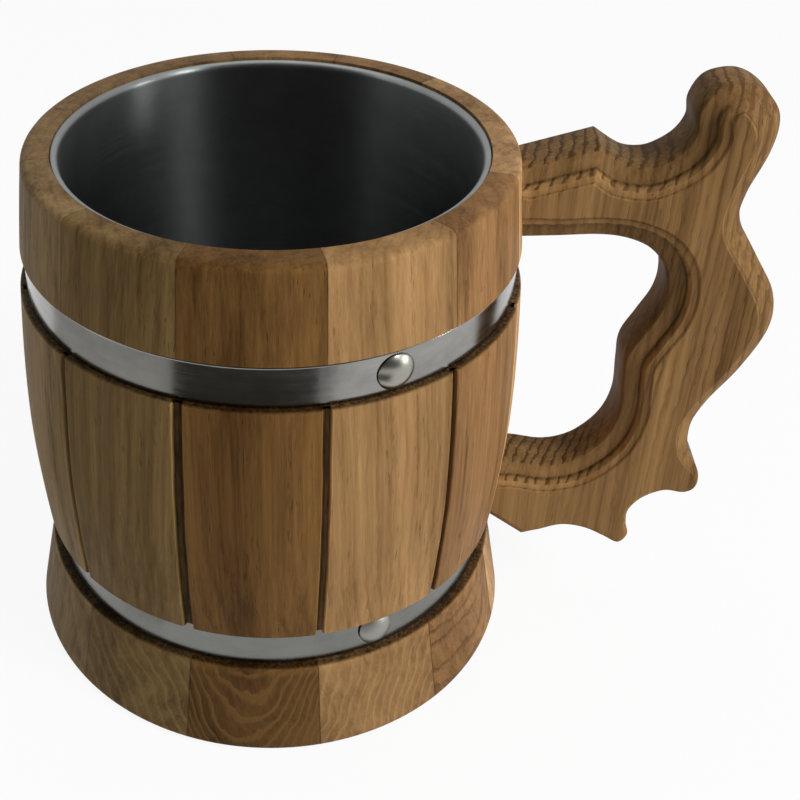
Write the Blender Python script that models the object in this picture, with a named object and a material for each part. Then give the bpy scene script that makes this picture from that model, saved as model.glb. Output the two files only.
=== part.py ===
"""Oak tankard: twelve turned staves, a steel cup inside, two steel hoops and a carved handle."""
import math

import bmesh
import bpy
from mathutils import Matrix, Vector

# Fits
JOINT_GAP = 0.0003
HOLE_GAP = 0.0003

# Barrel outline
BARREL_HEIGHT = 0.1400
BELLY_RADIUS = 0.0640
BELLY_DROP = 0.0039
SWELL_POWER = 1.7
RIM_INSET = 0.0061
RIM_ROUND = 0.0020
RIM_WALL = 0.0066
TOP_BAND_HEIGHT = 0.0224
STAVE_COUNT = 12
SEAM_WIDTH = 0.0024
SEAM_DEPTH = 0.0016

# Foot
FOOT_HEIGHT = 0.0263
FOOT_STANDOUT = 0.0035
FOOT_TOP_INSET = 0.0015
FOOT_EDGE = 0.0022

# Hoops and their grooves
UPPER_GROOVE_HEIGHT = 0.0108
LOWER_GROOVE_HEIGHT = 0.0116
UPPER_GROOVE_DEPTH = 0.0047
LOWER_GROOVE_DEPTH = 0.0059
HOOP_THICKNESS = 0.0006
HOOP_SLIT = 0.0004

# Steel cup
CUP_WALL = 0.0008
CUP_LIP_WIDTH = 0.0013
CUP_LIP_ROUND = 0.0012
CUP_LIP_DROP = 0.0007
CUP_CORNER = 0.0070

# Bottom disc
DISC_THICKNESS = 0.0120
DISC_SHOULDER = 0.0036
DISC_EDGE = 0.0008

# Hoop rivets, on the second stave from the handle
RIVET_STAVES_FROM_HANDLE = -2
RIVET_HEAD_RADIUS = 0.0040
RIVET_HEAD_RIM = 0.0005
RIVET_HEAD_RISE = 0.0019
RIVET_SHANK_RADIUS = 0.0015
RIVET_SHANK_LENGTH = 0.0065
RIVET_POINT = 0.0020

# Handle and its screws; the arms meet the barrel at set distances above the two hoops
HANDLE_THICKNESS = 0.0200
HANDLE_REACH = 0.0596
UPPER_ARM_ABOVE_HOOP = 0.0019
LOWER_ARM_ABOVE_HOOP = 0.0132
EDGE_DEPTH = 0.0050
STEPPED_WIDTH = 0.0070
SOFT_WIDTH = 0.0049
PLAIN_WIDTH = 0.0012
CORNER_STRETCH = 1.5
SCREW_RADIUS = 0.0020
SCREW_HEAD_RADIUS = 0.0039
SCREW_REACH = 0.0170
SCREW_TIP = 0.0050
SCREW_TIP_RADIUS = 0.0005
SCREW_SINK = 0.0006
SCREW_HOLE_MOUTH = 0.0030
UPPER_SCREW_INTO_ARM = 0.0088
LOWER_SCREW_INTO_ARM = 0.0071

# Fineness of curves
STAVE_ARC_STEPS = 2
ROUND_STEPS = 3
BELLY_STEPS = 7
BAND_STEPS = 2
CUP_STEPS = 48
CUP_ROUND_STEPS = 4
HOOP_STEPS = 60
RIVET_STEPS = 24
DOME_STEPS = 5
SCREW_STEPS = 20
HANDLE_STEPS_PER_SPAN = 3
COPE_STEPS = 96
COPE_RINGS = 24
SHARP_ANGLE = 32

# Surfaces
OAK_COLOUR = (0.30, 0.165, 0.075)
OAK_ROUGHNESS = 0.55
STAVE_SHADES = (0.92, 1.05, 0.98, 1.08, 0.95)
DISC_SHADE = 0.9
HANDLE_SHADE = 1.0
STEEL_TINT = (1.0, 1.0, 0.98)
CUP_TONE = 0.42
CUP_ROUGHNESS = 0.28
HOOP_TONE = 0.62
HOOP_ROUGHNESS = 0.16
RIVET_TONE = 0.70
RIVET_ROUGHNESS = 0.12
SCREW_TONE = 0.55
SCREW_ROUGHNESS = 0.35

# Derived sizes of the barrel and what sits in it
STAVE_HALF_ANGLE = math.pi / STAVE_COUNT
LOWER_GROOVE_TOP = FOOT_HEIGHT + LOWER_GROOVE_HEIGHT
UPPER_GROOVE_TOP = BARREL_HEIGHT - TOP_BAND_HEIGHT
UPPER_GROOVE_BOTTOM = UPPER_GROOVE_TOP - UPPER_GROOVE_HEIGHT
BELLY_HEIGHT = (LOWER_GROOVE_TOP + UPPER_GROOVE_BOTTOM) / 2 - BELLY_DROP
RIM_RADIUS = BELLY_RADIUS - RIM_INSET
FOOT_RADIUS = BELLY_RADIUS + FOOT_STANDOUT
FOOT_TOP_RADIUS = BELLY_RADIUS - FOOT_TOP_INSET
UPPER_GROOVE_RADIUS = BELLY_RADIUS - UPPER_GROOVE_DEPTH
LOWER_GROOVE_RADIUS = BELLY_RADIUS - LOWER_GROOVE_DEPTH
LIP_SEAT_RADIUS = RIM_RADIUS - RIM_WALL
CUP_LIP_RADIUS = LIP_SEAT_RADIUS - JOINT_GAP
CUP_RADIUS = CUP_LIP_RADIUS - CUP_LIP_WIDTH - CUP_LIP_ROUND
CUP_OUTER_RADIUS = CUP_RADIUS + CUP_WALL
CUP_TOP = BARREL_HEIGHT - CUP_LIP_DROP
CUP_BASE = DISC_THICKNESS + JOINT_GAP
BORE_RADIUS = CUP_OUTER_RADIUS + JOINT_GAP
LIP_SEAT_HEIGHT = CUP_TOP - CUP_WALL - JOINT_GAP
DISC_RADIUS = BORE_RADIUS + DISC_SHOULDER
DISC_SEAT_RADIUS = DISC_RADIUS + JOINT_GAP
RIVET_ANGLE = RIVET_STAVES_FROM_HANDLE * 2 * STAVE_HALF_ANGLE
UPPER_ARM_HEIGHT = UPPER_GROOVE_TOP + UPPER_ARM_ABOVE_HOOP
LOWER_ARM_HEIGHT = LOWER_GROOVE_TOP + LOWER_ARM_ABOVE_HOOP
UPPER_SCREW_HEIGHT = UPPER_ARM_HEIGHT + UPPER_SCREW_INTO_ARM
LOWER_SCREW_HEIGHT = LOWER_ARM_HEIGHT - LOWER_SCREW_INTO_ARM

# Handle outline as drawn: distance out from the widest part of the belly, height above the table,
# share of stepped moulding and share of soft rounding on the edge; the knob is rounded wider.
# The drawn reach is set to the handle's reach, and the drawn opening to the space between the arms.
DRAWN_REACH = 59.6
DRAWN_LOWER_ARM = 51.1
DRAWN_UPPER_ARM = 119.5
OUT_UNIT = HANDLE_REACH / DRAWN_REACH
UP_UNIT = (UPPER_ARM_HEIGHT - LOWER_ARM_HEIGHT) / (DRAWN_UPPER_ARM - DRAWN_LOWER_ARM)
BURIED = (BORE_RADIUS - BELLY_RADIUS) / OUT_UNIT
ROOT = -6.0
TOP_ROOT = [
    (BURIED, 135.2, 0, 0),
    (ROOT, 137.9, 1, 0),
]
ARM_TOP = [
    (ROOT, 137.9, 1, 0),
    (10.8, 143.3, 1, 0),
]
BACK = [
    (10.8, 143.3, 1, 0),
    (17.1, 139.5, 1, 0),
    (22.1, 139.0, 1, 0),
    (25.8, 140.5, 1, 0),
    (29.1, 143.3, 1, 0),
    (30.8, 147.2, 1, 0),
    (30.4, 152.0, 1, 0),
    (33.1, 157.0, 0.7, 0.3),
    (39.5, 158.5, 0, 1),
    (45.1, 155.9, 0, 1.3),
    (49.0, 150.6, 0, 1.4),
    (48.8, 142.5, 0, 1.3),
    (45.5, 132.2, 0, 1),
    (45.9, 125.4, 0, 1),
    (52.0, 116.1, 0, 1),
    (58.2, 106.2, 0, 1),
    (DRAWN_REACH, 96.4, 0, 1),
    (55.5, 84.4, 0, 1),
    (49.9, 74.0, 0, 1),
    (47.1, 66.1, 0, 0.9),
    (47.6, 58.4, 0, 0.5),
    (51.3, 51.8, 0, 0.1),
    (51.5, 47.0, 0, 0),
    (48.7, 44.9, 0, 0),
    (43.4, 45.3, 0, 0),
    (38.3, 42.4, 0, 0),
    (35.4, 37.7, 0, 0),
    (35.6, 32.7, 0, 0),
    (36.7, 28.5, 0, 0),
    (34.5, 25.3, 0, 0),
    (30.0, 27.6, 0, 0),
    (24.4, 30.3, 0, 0),
    (18.1, 31.1, 0, 0),
    (12.2, 28.9, 0, 0),
    (7.5, 26.2, 0, 0.3),
]
ARM_END = [
    (7.5, 26.2, 0, 0.3),
    (ROOT, 35.7, 0, 0.3),
]
END_ROOT = [
    (ROOT, 35.7, 0, 0.3),
    (BURIED, 40.0, 0, 0),
]
OPENING = [
    (BURIED, DRAWN_LOWER_ARM, 0, 0),
    (ROOT, DRAWN_LOWER_ARM, 1, 0),
    (2.9, 51.1, 1, 0),
    (11.3, 50.2, 1, 0),
    (18.1, 52.3, 1, 0),
    (23.2, 57.0, 1, 0),
    (26.4, 62.8, 1, 0),
    (27.6, 70.2, 1, 0),
    (26.8, 79.4, 1, 0),
    (26.5, 86.7, 1, 0),
    (29.4, 93.8, 1, 0),
    (32.1, 100.3, 1, 0),
    (32.6, 106.5, 1, 0),
    (31.0, 112.6, 1, 0),
    (27.0, 117.3, 1, 0),
    (21.4, 119.9, 1, 0),
    (14.5, 120.8, 1, 0),
    (4.3, 120.1, 1, 0),
    (ROOT, DRAWN_UPPER_ARM, 1, 0),
    (BURIED, DRAWN_UPPER_ARM, 0, 0),
]

# Handle edge sections from the edge inwards: share of the width in from the edge, share of the depth
STEPPED_EDGE = [
    (0.0, 1.0),
    (0.10, 0.76),
    (0.585, 0.58),
    (0.63, 0.34),
    (0.72, 0.18),
    (0.91, 0.08),
    (1.0, 0.0),
]
SOFT_EDGE = [
    (0.0, 1.0),
    (0.10, 0.66),
    (0.30, 0.39),
    (0.60, 0.21),
    (0.90, 0.12),
    (0.94, 0.03),
    (1.0, 0.0),
]
PLAIN_EDGE = [
    (0.0, 1.0),
    (0.08, 0.66),
    (0.25, 0.42),
    (0.42, 0.25),
    (0.66, 0.08),
    (0.84, 0.04),
    (1.0, 0.0),
]


def clear_scene():
    for item in list(bpy.data.objects):
        bpy.data.objects.remove(item, do_unlink=True)


def surface(name, colour, roughness, metallic):
    material = bpy.data.materials.new(name)
    material.use_nodes = True
    shader = material.node_tree.nodes["Principled BSDF"]
    shader.inputs["Base Color"].default_value = (*colour, 1.0)
    shader.inputs["Roughness"].default_value = roughness
    shader.inputs["Metallic"].default_value = metallic
    return material


def oak(name, shade):
    colour = [part * shade for part in OAK_COLOUR]
    return surface(name + "_oak", colour, OAK_ROUGHNESS, 0.0)


def steel(name, tone, roughness):
    colour = [part * tone for part in STEEL_TINT]
    return surface(name + "_steel", colour, roughness, 1.0)


def add_object(name, vertices, faces, material=None):
    mesh = bpy.data.meshes.new(name)
    mesh.from_pydata([tuple(point) for point in vertices], [], faces)
    shape = bmesh.new()
    shape.from_mesh(mesh)
    bmesh.ops.recalc_face_normals(shape, faces=shape.faces)
    shape.to_mesh(mesh)
    shape.free()
    mesh.shade_smooth()
    mesh.set_sharp_from_angle(angle=math.radians(SHARP_ANGLE))
    item = bpy.data.objects.new(name, mesh)
    if material:
        mesh.materials.append(material)
    bpy.context.scene.collection.objects.link(item)
    return item


def as_cutter(item):
    item.hide_render = True
    item.display_type = "WIRE"
    return item


def cut(item, cutter):
    step = item.modifiers.new("cut_" + cutter.name, "BOOLEAN")
    step.operation = "DIFFERENCE"
    step.solver = "EXACT"
    step.object = cutter


def revolved(name, profile, steps, material=None):
    """Turn an open or closed (radius, height) profile; points on the axis become one vertex."""
    vertices = []
    rings = []
    for radius, height in profile:
        if radius == 0:
            rings.append([len(vertices)] * steps)
            vertices.append(Vector((0, 0, height)))
            continue
        rings.append(list(range(len(vertices), len(vertices) + steps)))
        for step in range(steps):
            angle = 2 * math.pi * step / steps
            vertices.append(Vector((radius * math.cos(angle), radius * math.sin(angle), height)))
    pairs = list(zip(rings, rings[1:]))
    if profile[0][0] != 0:
        pairs.append((rings[-1], rings[0]))
    faces = []
    for lower, upper in pairs:
        for step in range(steps):
            after = (step + 1) % steps
            corners = [lower[step], lower[after], upper[after], upper[step]]
            faces.append(tuple(dict.fromkeys(corners)))
    return add_object(name, vertices, faces, material)


def arc(centre, radius, start, end, steps):
    """Points of a circular arc, angles in degrees."""
    points = []
    for step in range(steps + 1):
        angle = math.radians(start + (end - start) * step / steps)
        points.append((centre[0] + radius * math.cos(angle), centre[1] + radius * math.sin(angle)))
    return points


def barrel_radius(height):
    """Outer radius of the barrel's one continuous swell."""
    share = (height - BELLY_HEIGHT) / (BARREL_HEIGHT - BELLY_HEIGHT)
    return BELLY_RADIUS - RIM_INSET * abs(share) ** SWELL_POWER


def swell(bottom, top, steps):
    heights = [bottom + (top - bottom) * step / steps for step in range(steps + 1)]
    return [(barrel_radius(height), height) for height in heights]


def stave_profile():
    """Closed outline of a stave as (radius, height, lies on the belly), from the foot up and back."""
    foot = arc((FOOT_RADIUS - FOOT_EDGE, FOOT_EDGE), FOOT_EDGE, -90, 0, ROUND_STEPS)[:-1]
    foot += [(FOOT_RADIUS, FOOT_EDGE), (FOOT_TOP_RADIUS, FOOT_HEIGHT)]
    lower_groove = [(LOWER_GROOVE_RADIUS, FOOT_HEIGHT), (LOWER_GROOVE_RADIUS, LOWER_GROOVE_TOP)]
    belly = swell(LOWER_GROOVE_TOP, UPPER_GROOVE_BOTTOM, BELLY_STEPS)
    upper_groove = [(UPPER_GROOVE_RADIUS, UPPER_GROOVE_BOTTOM), (UPPER_GROOVE_RADIUS, UPPER_GROOVE_TOP)]
    shoulder = BARREL_HEIGHT - RIM_ROUND
    band = swell(UPPER_GROOVE_TOP, shoulder, BAND_STEPS)
    rim = arc((barrel_radius(shoulder) - RIM_ROUND, shoulder), RIM_ROUND, 0, 90, ROUND_STEPS)[1:]
    inside = [
        (LIP_SEAT_RADIUS, BARREL_HEIGHT),
        (LIP_SEAT_RADIUS, LIP_SEAT_HEIGHT),
        (BORE_RADIUS, LIP_SEAT_HEIGHT),
        (BORE_RADIUS, DISC_THICKNESS + JOINT_GAP),
        (DISC_SEAT_RADIUS, DISC_THICKNESS + JOINT_GAP),
        (DISC_SEAT_RADIUS, 0.0),
    ]
    plain = [(point, False) for point in foot + lower_groove]
    plain += [(point, True) for point in belly]
    plain += [(point, False) for point in upper_groove + band + rim + inside]
    return [(point[0], point[1], on_belly) for point, on_belly in plain]


def stave_angle(radius, from_seam):
    """Angle from a stave's middle to a point that lies from_seam away from the seam plane."""
    return STAVE_HALF_ANGLE - math.asin((JOINT_GAP / 2 + from_seam) / radius)


def stave_columns(radius, on_belly):
    """(angle, radius) across a stave at one height; on the belly each edge is cut back to a flat slot."""
    edge_angle = stave_angle(radius, 0.0)
    slot = [(edge_angle, radius)]
    if on_belly:
        floor = radius - SEAM_DEPTH
        edge_angle = stave_angle(radius, SEAM_WIDTH / 2)
        slot = [(stave_angle(floor, 0.0), floor), (stave_angle(floor, SEAM_WIDTH / 2), floor)]
        slot.append((edge_angle, radius))
    face = []
    for step in range(STAVE_ARC_STEPS - 1, -STAVE_ARC_STEPS, -1):
        face.append((edge_angle * step / STAVE_ARC_STEPS, radius))
    return slot + face + [(-angle, edge_radius) for angle, edge_radius in reversed(slot)]


def stave_row(columns, first, count):
    """Vertex numbers of one height, with the edge vertex repeated where there is no slot."""
    missing = (count - len(columns)) // 2
    numbers = list(range(first, first + len(columns)))
    return [numbers[0]] * missing + numbers + [numbers[-1]] * missing


def stave(number):
    name = "stave_%02d" % (number + 1)
    middle = 2 * STAVE_HALF_ANGLE * number
    heights = [(stave_columns(radius, on_belly), height) for radius, height, on_belly in stave_profile()]
    count = max(len(columns) for columns, height in heights)
    vertices = []
    rows = []
    for columns, height in heights:
        rows.append(stave_row(columns, len(vertices), count))
        for angle, radius in columns:
            turned = middle + angle
            vertices.append(Vector((radius * math.cos(turned), radius * math.sin(turned), height)))
    faces = []
    for low, high in zip(rows, rows[1:] + rows[:1]):
        for column in range(count - 1):
            corners = dict.fromkeys((low[column], low[column + 1], high[column + 1], high[column]))
            if len(corners) > 2:
                faces.append(tuple(corners))
    faces.append(tuple(row[0] for row in rows))
    faces.append(tuple(row[-1] for row in rows))
    shade = STAVE_SHADES[number % len(STAVE_SHADES)]
    return add_object(name, vertices, faces, oak(name, shade))


def steel_cup():
    """Drawn cup with a flat lip that rests on the rim's seat."""
    lip_centre = (CUP_RADIUS + CUP_LIP_ROUND, CUP_TOP - CUP_LIP_ROUND)
    corner = (CUP_RADIUS - CUP_CORNER, CUP_BASE + CUP_WALL + CUP_CORNER)
    profile = [(0, CUP_BASE + CUP_WALL)]
    profile += arc(corner, CUP_CORNER, -90, 0, CUP_ROUND_STEPS)
    profile += arc(lip_centre, CUP_LIP_ROUND, 180, 90, CUP_ROUND_STEPS)
    profile += [(CUP_LIP_RADIUS, CUP_TOP), (CUP_LIP_RADIUS, CUP_TOP - CUP_WALL)]
    profile += arc(lip_centre, CUP_LIP_ROUND - CUP_WALL, 90, 180, CUP_ROUND_STEPS)
    profile += arc(corner, CUP_CORNER + CUP_WALL, 0, -90, CUP_ROUND_STEPS)
    profile += [(0, CUP_BASE)]
    return revolved("steel_cup", profile, CUP_STEPS, steel("cup", CUP_TONE, CUP_ROUGHNESS))


def bottom_disc():
    profile = [
        (0, 0),
        (DISC_RADIUS - DISC_EDGE, 0),
        (DISC_RADIUS, DISC_EDGE),
        (DISC_RADIUS, DISC_THICKNESS),
        (0, DISC_THICKNESS),
    ]
    return revolved("bottom_disc", profile, CUP_STEPS, oak("disc", DISC_SHADE))


def hoop_face(groove_radius):
    """Radius of a hoop's outer face."""
    return groove_radius + JOINT_GAP + HOOP_THICKNESS


def hoop(name, groove_bottom, groove_top, groove_radius):
    """Steel strip bent round the groove; its two ends meet under the rivet."""
    low = groove_bottom + JOINT_GAP
    high = groove_top - JOINT_GAP
    outer = hoop_face(groove_radius)
    inner = outer - HOOP_THICKNESS
    section = [(inner, low), (outer, low), (outer, high), (inner, high)]
    half_slit = HOOP_SLIT / 2 / outer
    vertices = []
    for step in range(HOOP_STEPS + 1):
        angle = RIVET_ANGLE + half_slit + (2 * math.pi - 2 * half_slit) * step / HOOP_STEPS
        for radius, height in section:
            vertices.append(Vector((radius * math.cos(angle), radius * math.sin(angle), height)))
    corners = len(section)
    faces = [tuple(range(corners))]
    for step in range(HOOP_STEPS):
        for corner in range(corners):
            after = (corner + 1) % corners
            base = step * corners
            faces.append((base + corner, base + after, base + corners + after, base + corners + corner))
    faces.append(tuple(range(HOOP_STEPS * corners, (HOOP_STEPS + 1) * corners)))
    return add_object(name, vertices, faces, steel(name, HOOP_TONE, HOOP_ROUGHNESS))


def point_outwards(item, angle, radius, height):
    """Stand a piece turned about its own Z on a radius of the barrel, its Z pointing outwards."""
    turn = Matrix.Rotation(angle, 4, "Z") @ Matrix.Rotation(math.pi / 2, 4, "Y")
    spot = Vector((radius * math.cos(angle), radius * math.sin(angle), height))
    item.data.transform(Matrix.Translation(spot) @ turn)


def rivet(name, height, seat):
    dome_radius = (RIVET_HEAD_RADIUS ** 2 + RIVET_HEAD_RISE ** 2) / (2 * RIVET_HEAD_RISE)
    dome_angle = math.degrees(math.asin(RIVET_HEAD_RADIUS / dome_radius))
    dome_centre = (0.0, RIVET_HEAD_RIM + RIVET_HEAD_RISE - dome_radius)
    dome = arc(dome_centre, dome_radius, 90 - dome_angle, 90, DOME_STEPS)[:-1]
    profile = [(0, -RIVET_SHANK_LENGTH), (RIVET_SHANK_RADIUS, RIVET_POINT - RIVET_SHANK_LENGTH)]
    profile += [(RIVET_SHANK_RADIUS, 0.0), (RIVET_HEAD_RADIUS, 0.0)]
    profile += dome
    profile += [(0, RIVET_HEAD_RIM + RIVET_HEAD_RISE)]
    item = revolved(name, profile, RIVET_STEPS, steel(name, RIVET_TONE, RIVET_ROUGHNESS))
    point_outwards(item, RIVET_ANGLE, seat, height)
    return item


def rivet_hole(name, height, seat):
    radius = RIVET_SHANK_RADIUS + HOLE_GAP
    depth = RIVET_SHANK_LENGTH + HOLE_GAP
    profile = [(0, -depth), (radius, -depth), (radius, RIVET_HEAD_RISE), (0, RIVET_HEAD_RISE)]
    item = revolved(name, profile, RIVET_STEPS)
    point_outwards(item, RIVET_ANGLE, seat, height)
    return as_cutter(item)


def smooth_run(knots):
    """Points of a curve that passes smoothly through the knots, without its last point."""
    if len(knots) == 2:
        return [knots[0]]
    points = []
    for index in range(len(knots) - 1):
        first = knots[index]
        last = knots[index + 1]
        before = knots[index - 1] if index > 0 else first
        after = knots[index + 2] if index + 2 < len(knots) else last
        for step in range(HANDLE_STEPS_PER_SPAN):
            share = step / HANDLE_STEPS_PER_SPAN
            point = []
            for axis in range(2):
                pull_first = (last[axis] - before[axis]) / 2
                pull_last = (after[axis] - first[axis]) / 2
                point.append(hermite(first[axis], last[axis], pull_first, pull_last, share))
            for axis in (2, 3):
                point.append(first[axis] + (last[axis] - first[axis]) * share)
            points.append(tuple(point))
    return points


def hermite(start, end, pull_start, pull_end, share):
    square = share * share
    cube = square * share
    value = (2 * cube - 3 * square + 1) * start
    value += (cube - 2 * square + share) * pull_start
    value += (3 * square - 2 * cube) * end
    value += (cube - square) * pull_end
    return value


def handle_outline():
    """Closed outline as (distance from the barrel's axis, height, stepped share, soft share)."""
    lower_end = [END_ROOT[-1], OPENING[0]]
    upper_end = [OPENING[-1], TOP_ROOT[0]]
    runs = [TOP_ROOT, ARM_TOP, BACK, ARM_END, END_ROOT, lower_end, OPENING, upper_end]
    points = []
    for run in runs:
        for out, up, stepped, soft in smooth_run(run):
            height = LOWER_ARM_HEIGHT + (up - DRAWN_LOWER_ARM) * UP_UNIT
            points.append((BELLY_RADIUS + out * OUT_UNIT, height, stepped, soft))
    return points


def inward_offsets(points):
    """Direction into the wood at every outline point, longer at corners so that edges stay parallel."""
    offsets = []
    count = len(points)
    for index in range(count):
        here = Vector(points[index][:2])
        ahead = (Vector(points[(index + 1) % count][:2]) - here).normalized()
        behind = (here - Vector(points[index - 1][:2])).normalized()
        along = (ahead + behind).normalized()
        stretch = 1.0 / max(along.dot(ahead), 1.0 / CORNER_STRETCH)
        offsets.append(Vector((along.y, -along.x)) * stretch)
    return offsets


def edge_section(ring, stepped, soft):
    """Inset and depth of one moulding line for a blend of the three edge sections."""
    kinds = (
        (STEPPED_EDGE, STEPPED_WIDTH, EDGE_DEPTH, stepped),
        (SOFT_EDGE, SOFT_WIDTH, EDGE_DEPTH, soft),
        (PLAIN_EDGE, PLAIN_WIDTH, PLAIN_WIDTH, 1.0 - stepped - soft),
    )
    inset = sum(section[ring][0] * width * share for section, width, depth, share in kinds)
    drop = sum(section[ring][1] * depth * share for section, width, depth, share in kinds)
    return inset, drop


def handle_loops(points, offsets):
    """Closed loops of the handle's skin from the front face over the edge to the back face."""
    rings = list(range(len(STEPPED_EDGE)))
    loops = []
    for side, order in ((-1, reversed(rings)), (1, rings)):
        for ring in order:
            loop = []
            for (out, up, stepped, soft), inward in zip(points, offsets):
                inset, drop = edge_section(ring, stepped, soft)
                flat = Vector((out, up)) + inward * inset
                loop.append(Vector((flat.x, side * (HANDLE_THICKNESS / 2 - drop), flat.y)))
            loops.append(loop)
    return loops


def handle():
    points = handle_outline()
    loops = handle_loops(points, inward_offsets(points))
    count = len(points)
    vertices = [vertex for loop in loops for vertex in loop]
    faces = [tuple(range(count))]
    for row in range(len(loops) - 1):
        for index in range(count):
            after = (index + 1) % count
            low = row * count
            high = low + count
            faces.append((low + index, low + after, high + after, high + index))
    faces.append(tuple(range(len(vertices) - count, len(vertices))))
    return add_object("handle", vertices, faces, oak("handle", HANDLE_SHADE))


def barrel_cutter():
    """Solid of the barrel's swell plus the joint gap, which shapes the ends of the handle's arms."""
    points = [(radius + JOINT_GAP, height) for radius, height in swell(0.0, BARREL_HEIGHT, COPE_RINGS)]
    profile = [(0, 0.0)] + points + [(0, BARREL_HEIGHT)]
    return as_cutter(revolved("barrel_cutter", profile, COPE_STEPS))


def screw_profile(height, grow):
    """Countersunk screw turned about its own axis, enlarged all round by grow."""
    head_depth = SCREW_HEAD_RADIUS - SCREW_RADIUS
    length = barrel_radius(height) - BORE_RADIUS + SCREW_REACH
    profile = [(0, -grow), (SCREW_HEAD_RADIUS + grow, -grow)]
    profile += [(SCREW_RADIUS + grow, head_depth), (SCREW_RADIUS + grow, length - SCREW_TIP)]
    profile += [(SCREW_TIP_RADIUS + grow, length + grow), (0, length + grow)]
    return profile


def handle_screw(name, height):
    item = revolved(name, screw_profile(height, 0.0), SCREW_STEPS, steel(name, SCREW_TONE, SCREW_ROUGHNESS))
    point_outwards(item, 0.0, BORE_RADIUS + SCREW_SINK, height)
    return item


def screw_hole(name, height):
    profile = screw_profile(height, HOLE_GAP)
    profile[0] = (0, -SCREW_HOLE_MOUTH)
    profile[1] = (profile[1][0], -SCREW_HOLE_MOUTH)
    profile.insert(2, (SCREW_HEAD_RADIUS + HOLE_GAP, 0.0))
    item = revolved(name, profile, SCREW_STEPS)
    point_outwards(item, 0.0, BORE_RADIUS + SCREW_SINK, height)
    return as_cutter(item)


def build():
    clear_scene()
    staves = [stave(number) for number in range(STAVE_COUNT)]
    steel_cup()
    bottom_disc()
    grip = handle()
    cut(grip, barrel_cutter())
    for place, height in (("upper", UPPER_SCREW_HEIGHT), ("lower", LOWER_SCREW_HEIGHT)):
        handle_screw("handle_screw_" + place, height)
        hole = screw_hole("screw_hole_" + place, height)
        cut(grip, hole)
        cut(staves[0], hole)
    grooves = (
        ("upper", UPPER_GROOVE_BOTTOM, UPPER_GROOVE_TOP, UPPER_GROOVE_RADIUS),
        ("lower", FOOT_HEIGHT, LOWER_GROOVE_TOP, LOWER_GROOVE_RADIUS),
    )
    for place, bottom, top, radius in grooves:
        band = hoop("hoop_" + place, bottom, top, radius)
        middle = (bottom + top) / 2
        seat = hoop_face(radius) + JOINT_GAP
        rivet("rivet_" + place, middle, seat)
        hole = rivet_hole("rivet_hole_" + place, middle, seat)
        cut(band, hole)
        cut(staves[RIVET_STAVES_FROM_HANDLE], hole)


build()
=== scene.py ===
"""Oak tankard with a steel cup, two riveted hoops and a carved handle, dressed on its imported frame."""
import math

import bmesh
import bpy
from mathutils import Matrix, Vector, noise


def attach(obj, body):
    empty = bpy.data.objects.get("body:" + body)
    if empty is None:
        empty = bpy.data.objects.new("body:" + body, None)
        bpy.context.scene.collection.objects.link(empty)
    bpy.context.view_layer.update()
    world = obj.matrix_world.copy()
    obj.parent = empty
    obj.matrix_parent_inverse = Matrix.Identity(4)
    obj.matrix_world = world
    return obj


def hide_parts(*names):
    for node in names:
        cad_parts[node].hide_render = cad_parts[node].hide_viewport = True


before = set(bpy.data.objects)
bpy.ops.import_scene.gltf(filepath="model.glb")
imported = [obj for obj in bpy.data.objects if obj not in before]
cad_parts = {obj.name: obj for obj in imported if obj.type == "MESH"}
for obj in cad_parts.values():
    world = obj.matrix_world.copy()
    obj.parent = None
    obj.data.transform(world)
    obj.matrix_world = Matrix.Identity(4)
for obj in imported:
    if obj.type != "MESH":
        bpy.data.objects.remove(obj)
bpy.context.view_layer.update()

# Barrel
HEIGHT = 0.1400
BELLY_RADIUS = 0.0640
BELLY_HEIGHT = 0.06845
SWELL_POWER = 1.7
RIM_RADIUS = 0.0579
RIM_ROUND = 0.0020
FOOT_RADIUS = 0.0675
FOOT_HEIGHT = 0.0263
FOOT_TOP_RADIUS = 0.0625
FOOT_EDGE = 0.0022
LOWER_GROOVE_TOP = 0.0379
UPPER_GROOVE_BOTTOM = 0.1068
UPPER_GROOVE_TOP = 0.1176
UPPER_GROOVE_RADIUS = 0.0593
LOWER_GROOVE_RADIUS = 0.0581
STAVES = 12
HALF_ANGLE = math.pi / STAVES
SEAM_DEPTH = 0.0016
SEAM_WIDTH = 0.0020
SEAM_WIDTHS = {8: 0.0017, 9: 0.0024, 10: 0.0018, 11: 0.0016}
ARRIS = 0.00025
HAIR = 0.00002
HALF_STAVE = 0.016
SLOT_WAVER = 0.00013
SLOT_WAVES_PER_METRE = 90
# Wear beside a closed seam by the distance from it, and where the columns of a half stave lie
CLOSED_SEAM = ((HAIR, 0.55), (0.00022, 0.12), (0.0005, 0.0), (0.0009, 0.0))
COLUMN_SHARES = (0.97, 0.88, 0.75, 0.6, 0.45, 0.3, 0.15)

# Cup, disc, hoops and rivets
LIP_SEAT_RADIUS = 0.0514
BORE_RADIUS = 0.0506
CUP_RADIUS = 0.0495
CUP_WALL = 0.0008
CUP_LIP_RADIUS = 0.0512
CUP_LIP_ROUND = 0.0014
CUP_LIP_EDGE = 0.0002
CUP_TOP = 0.1394
CUP_BASE = 0.0123
CUP_CORNER = 0.0070
DISC_SEAT_RADIUS = 0.0535
HOOP_THICKNESS = 0.0006
HOOP_GAP = 0.0003
HOOP_EDGE = 0.00007
HOOP_SLIT_ANGLE = 0.0008
LOWER_FLARE = 0.0013
LOWER_LEAN = 0.12
RIVET_ANGLE = math.radians(-60)
RIVET_RADIUS = 0.0045
RIVET_RIM = 0.0003
RIVET_RISE = 0.0018
RIVET_EDGE = 0.0002
RIVET_SHANK_RADIUS = 0.0015
RIVET_SHANK_LENGTH = 0.0065
RIVET_POINT = 0.0020

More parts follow.
